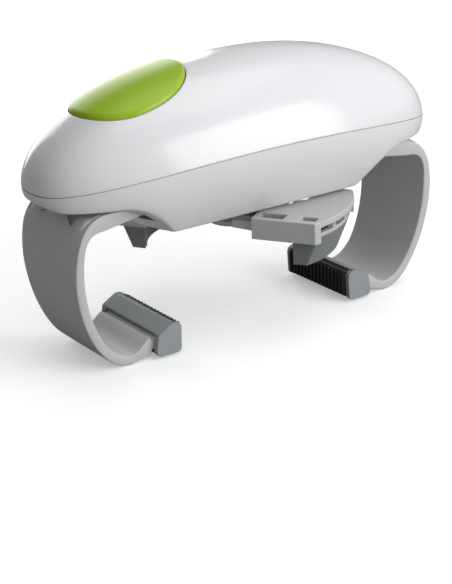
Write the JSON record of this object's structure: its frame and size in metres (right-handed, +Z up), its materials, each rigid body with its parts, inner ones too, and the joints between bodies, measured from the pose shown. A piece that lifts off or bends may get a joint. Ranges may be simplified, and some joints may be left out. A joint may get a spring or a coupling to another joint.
{
  "type": "electric jar opener",
  "caption": "Battery-powered jar opener: oval white body with a push button, sliding curved arms with pads, and a turntable with lid jaws.",
  "frame": {"origin": "on the ground under the middle of the body, at the arms' lowest line", "axes": "+X along the body towards the right arm, -Y to the front with the button at the left, +Z up"},
  "size_m": [0.21, 0.1108, 0.1274],
  "materials": {
    "shell_white": "gloss white moulded shell",
    "button_green": "satin green moulded button",
    "arm_grey": "satin grey moulded arm with pale edges",
    "jaw_grey": "satin light grey",
    "claw_grey": "soft grip rubber",
    "holder_grey": "satin blue-grey",
    "pad_rubber": "matt ribbed rubber",
    "gear_plastic": "natural acetal",
    "steel": "plated steel",
    "dark_plastic": "matt black",
    "board_green": "board lacquer",
    "cell_wrap": "plain wrapped cell"
  },
  "bodies": {
    "body": {"upper_shell": "shell_white", "lower_shell": "shell_white", "button_spring": "steel", "button_switch": "dark_plastic", "circuit_board": "board_green", "battery_tray": "dark_plastic", "battery_front": "cell_wrap", "battery_rear": "cell_wrap", "battery_contacts": "steel", "motor": "steel", "motor_plate": "steel", "gear_axles": "steel", "gear_deck": "gear_plastic", "ring_gear": "gear_plastic", "ring_cover": "gear_plastic", "shell_screws": "steel", "deck_screws": "steel", "motor_screws": "steel"},
    "battery_cover": {"battery_cover": "shell_white"},
    "button": {"button": "button_green"},
    "motor_pinion": {"motor_pinion": "gear_plastic"},
    "fast_gear": {"fast_gear": "gear_plastic"},
    "slow_gear": {"slow_gear": "gear_plastic"},
    "sun_gear": {"sun_gear": "gear_plastic"},
    "turntable": {"turntable": "jaw_grey", "planet_carrier": "steel", "planet_pins": "steel", "jaw_guide": "jaw_grey", "jaw_screw": "steel"},
    "planet_gear_1": {"planet_gear_1": "gear_plastic"},
    "planet_gear_2": {"planet_gear_2": "gear_plastic"},
    "planet_gear_3": {"planet_gear_3": "gear_plastic"},
    "jaw_pinion": {"jaw_pinion": "gear_plastic"},
    "front_jaw": {"front_jaw": "jaw_grey", "front_claw": "claw_grey"},
    "rear_jaw": {"rear_jaw": "jaw_grey", "rear_claw": "claw_grey"},
    "arm_pinion": {"arm_pinion": "gear_plastic"},
    "right_arm": {"right_arm": "arm_grey", "right_pad_pin": "steel"},
    "left_arm": {"left_arm": "arm_grey", "left_pad_pin": "steel"},
    "right_pad": {"right_pad_holder": "holder_grey", "right_pad": "pad_rubber"},
    "left_pad": {"left_pad_holder": "holder_grey", "left_pad": "pad_rubber"}
  },
  "joints": [
    {"name": "button_press", "type": "slide", "parent": "body", "child": "button", "axis": [0, 0, -1], "range_m": [0, 0.0018], "stiffness_N_per_m": 300, "springref_m": -0.003, "deforming": ["button_spring"]},
    {"name": "battery_cover_pull", "type": "slide", "parent": "body", "child": "battery_cover", "axis": [0, 1, 0], "range_m": [0, 0.02]},
    {"name": "right_arm_slide", "type": "slide", "parent": "body", "child": "right_arm", "axis": [1, 0, 0], "range_m": [-0.024, 0.01]},
    {"name": "left_arm_slide", "type": "slide", "parent": "body", "child": "left_arm", "axis": [-1, 0, 0], "range_m": [-0.024, 0.01]},
    {"name": "arm_pinion_turn", "type": "hinge", "parent": "body", "child": "arm_pinion", "pos_m": [0, 0, 0.0715], "axis": [0, 0, 1], "range_deg": [-72, 172.5]},
    {"name": "right_pad_tilt", "type": "hinge", "parent": "right_arm", "child": "right_pad", "pos_m": [0.058, 0, 0.0064], "axis": [0, 1, 0], "range_deg": [-8, 8]},
    {"name": "left_pad_tilt", "type": "hinge", "parent": "left_arm", "child": "left_pad", "pos_m": [-0.058, 0, 0.0064], "axis": [0, -1, 0], "range_deg": [-8, 8]},
    {"name": "turntable_turn", "type": "hinge", "parent": "body", "child": "turntable", "pos_m": [0, 0, 0.0585], "axis": [0, 0, 1], "continuous": true},
    {"name": "sun_gear_turn", "type": "hinge", "parent": "body", "child": "sun_gear", "pos_m": [0, 0, 0.07], "axis": [0, 0, 1], "continuous": true},
    {"name": "slow_gear_turn", "type": "hinge", "parent": "body", "child": "slow_gear", "pos_m": [-0.0192, 0, 0.083], "axis": [0, 0, 1], "continuous": true},
    {"name": "fast_gear_turn", "type": "hinge", "parent": "body", "child": "fast_gear", "pos_m": [-0.02655, 0.01273, 0.088], "axis": [0, 0, 1], "continuous": true},
    {"name": "motor_pinion_turn", "type": "hinge", "parent": "body", "child": "motor_pinion", "pos_m": [-0.02025, 0.00182, 0.09], "axis": [0, 0, 1], "continuous": true},
    {"name": "planet_gear_1_turn", "type": "hinge", "parent": "turntable", "child": "planet_gear_1", "pos_m": [0.00654, -0.01006, 0.065], "axis": [0, 0, 1], "continuous": true},
    {"name": "planet_gear_2_turn", "type": "hinge", "parent": "turntable", "child": "planet_gear_2", "pos_m": [0.00545, 0.01069, 0.065], "axis": [0, 0, 1], "continuous": true},
    {"name": "planet_gear_3_turn", "type": "hinge", "parent": "turntable", "child": "planet_gear_3", "pos_m": [-0.01198, -0.00063, 0.065], "axis": [0, 0, 1], "continuous": true},
    {"name": "front_jaw_slide", "type": "slide", "parent": "turntable", "child": "front_jaw", "axis": [0.5446, -0.8387, 0], "range_m": [-0.026, 0.009]},
    {"name": "rear_jaw_slide", "type": "slide", "parent": "turntable", "child": "rear_jaw", "axis": [-0.5446, 0.8387, 0], "range_m": [-0.026, 0.009]},
    {"name": "jaw_pinion_turn", "type": "hinge", "parent": "turntable", "child": "jaw_pinion", "pos_m": [0, 0, 0.0535], "axis": [0, 0, 1], "range_deg": [-248.5, 86.2]}
  ],
  "couplings": [
    {"joint": "left_arm_slide", "follows": "right_arm_slide", "ratio": 1},
    {"joint": "arm_pinion_turn", "follows": "right_arm_slide", "rad_per_m": -125},
    {"joint": "rear_jaw_slide", "follows": "front_jaw_slide", "ratio": 1},
    {"joint": "jaw_pinion_turn", "follows": "front_jaw_slide", "rad_per_m": 166.67},
    {"joint": "sun_gear_turn", "follows": "turntable_turn", "ratio": 4},
    {"joint": "slow_gear_turn", "follows": "turntable_turn", "ratio": -12},
    {"joint": "fast_gear_turn", "follows": "turntable_turn", "ratio": 30},
    {"joint": "motor_pinion_turn", "follows": "turntable_turn", "ratio": -75},
    {"joint": "planet_gear_1_turn", "follows": "turntable_turn", "ratio": -3},
    {"joint": "planet_gear_2_turn", "follows": "turntable_turn", "ratio": -3},
    {"joint": "planet_gear_3_turn", "follows": "turntable_turn", "ratio": -3}
  ]
}
